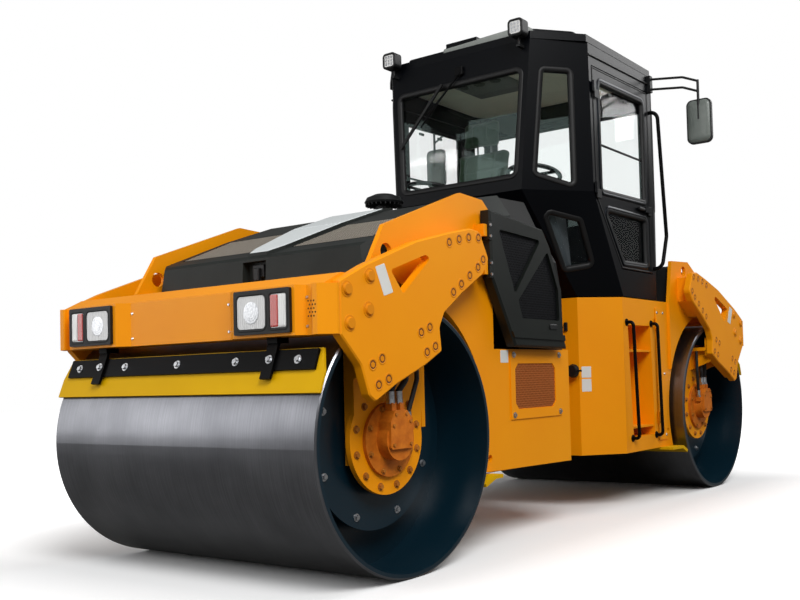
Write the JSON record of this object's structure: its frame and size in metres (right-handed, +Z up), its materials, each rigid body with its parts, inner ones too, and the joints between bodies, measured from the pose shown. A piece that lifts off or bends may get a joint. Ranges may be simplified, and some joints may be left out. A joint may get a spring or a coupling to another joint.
{
  "type": "tandem road roller",
  "caption": "Articulated tandem road roller with two smooth steel drums, a glazed cab over the centre joint and a moulded engine hood.",
  "frame": {"origin": "on the ground at the centre of the machine's box, midway between the drums", "axes": "+X forward along the machine, +Y left, +Z up"},
  "size_m": [4.8, 2.41, 3.0199],
  "materials": {
    "yellow_paint": "gloss",
    "blade_paint": "satin",
    "black_steel": "satin",
    "cab_paint": "gloss",
    "hood_plastic": "satin",
    "drum_steel": "satin",
    "motor_cast": "satin",
    "hose_rubber": "matte",
    "clear_glass": "polished",
    "lamp_lens": "polished",
    "grey_plastic": "matte",
    "seat_fabric": "matte",
    "tank_plastic": "satin",
    "engine_iron": "matte"
  },
  "bodies": {
    "front_frame": {"air_cleaner": "black_steel", "cowl": "hood_plastic", "engine": "engine_iron", "front_arms": "yellow_paint", "front_beam": "yellow_paint", "front_chassis": "yellow_paint", "front_hoses": "hose_rubber", "front_lamp_glass": "lamp_lens", "front_lamps": "black_steel", "front_motors": "motor_cast", "front_scraper_bar": "black_steel", "front_scrapers": "blade_paint", "front_side_plates": "yellow_paint", "front_yokes": "yellow_paint", "vent_panels": "yellow_paint"},
    "cab_door_left": {"cab_door_left": "cab_paint", "cab_door_left_glass": "clear_glass"},
    "cab_door_right": {"cab_door_right": "cab_paint", "cab_door_right_glass": "clear_glass"},
    "rear_frame": {"cab_frame": "cab_paint", "cab_glass": "clear_glass", "cab_roof": "cab_paint", "console": "grey_plastic", "hand_rails": "black_steel", "mirrors": "black_steel", "rear_arms": "yellow_paint", "rear_beam": "yellow_paint", "rear_chassis": "yellow_paint", "rear_hoses": "hose_rubber", "rear_lamp_glass": "lamp_lens", "rear_lamps": "black_steel", "rear_motors": "motor_cast", "rear_scraper_bar": "black_steel", "rear_scrapers": "blade_paint", "rear_side_plates": "yellow_paint", "rear_tank": "tank_plastic", "rear_yokes": "yellow_paint", "seat_back": "seat_fabric", "seat_base": "grey_plastic", "seat_cushion": "seat_fabric", "work_lamps": "black_steel"},
    "engine_door_left": {"engine_door_left": "hood_plastic"},
    "engine_door_right": {"engine_door_right": "hood_plastic"},
    "front_drum": {"front_drum": "drum_steel"},
    "hood": {"hood": "hood_plastic", "hood_grilles": "hood_plastic"},
    "rear_drum": {"rear_drum": "drum_steel"},
    "service_hatch_left": {"service_hatch_left": "yellow_paint"},
    "service_hatch_right": {"service_hatch_right": "yellow_paint"},
    "steering_wheel_left": {"steering_wheel_left": "grey_plastic"},
    "steering_wheel_right": {"steering_wheel_right": "grey_plastic"}
  },
  "joints": [
    {"name": "articulation", "type": "hinge", "parent": "rear_frame", "child": "front_frame", "pos_m": [0, 0, 0.7], "axis": [0, 0, 1], "range_deg": [-35, 35]},
    {"name": "front_drum", "type": "hinge", "parent": "front_frame", "child": "front_drum", "pos_m": [1.8, 0, 0.6], "axis": [0, 1, 0], "continuous": true},
    {"name": "rear_drum", "type": "hinge", "parent": "rear_frame", "child": "rear_drum", "pos_m": [-1.8, 0, 0.6], "axis": [0, 1, 0], "continuous": true},
    {"name": "hood", "type": "hinge", "parent": "front_frame", "child": "hood", "pos_m": [0.797, 0, 1.842], "axis": [0, -1, 0], "range_deg": [0, 55]},
    {"name": "engine_door_left", "type": "hinge", "parent": "front_frame", "child": "engine_door_left", "pos_m": [1.165, 0.866, 1.495], "axis": [0, 0, -1], "range_deg": [0, 100]},
    {"name": "engine_door_right", "type": "hinge", "parent": "front_frame", "child": "engine_door_right", "pos_m": [1.165, -0.866, 1.495], "axis": [0, 0, 1], "range_deg": [0, 100]},
    {"name": "cab_door_left", "type": "hinge", "parent": "rear_frame", "child": "cab_door_left", "pos_m": [-0.146, 0.792, 2.3], "axis": [0, 0, -1], "range_deg": [0, 80]},
    {"name": "cab_door_right", "type": "hinge", "parent": "rear_frame", "child": "cab_door_right", "pos_m": [-0.146, -0.792, 2.3], "axis": [0, 0, 1], "range_deg": [0, 80]},
    {"name": "service_hatch_left", "type": "hinge", "parent": "rear_frame", "child": "service_hatch_left", "pos_m": [-0.966, 0.792, 0.87], "axis": [0, 0, -1], "range_deg": [0, 90]},
    {"name": "service_hatch_right", "type": "hinge", "parent": "rear_frame", "child": "service_hatch_right", "pos_m": [-0.966, -0.792, 0.87], "axis": [0, 0, 1], "range_deg": [0, 90]},
    {"name": "steering_wheel_left", "type": "hinge", "parent": "rear_frame", "child": "steering_wheel_left", "pos_m": [-0.06, 0.4, 2.125], "axis": [-0.2079, 0, 0.9781], "continuous": true},
    {"name": "steering_wheel_right", "type": "hinge", "parent": "rear_frame", "child": "steering_wheel_right", "pos_m": [-0.06, -0.43, 2.125], "axis": [-0.2079, 0, 0.9781], "continuous": true}
  ]
}
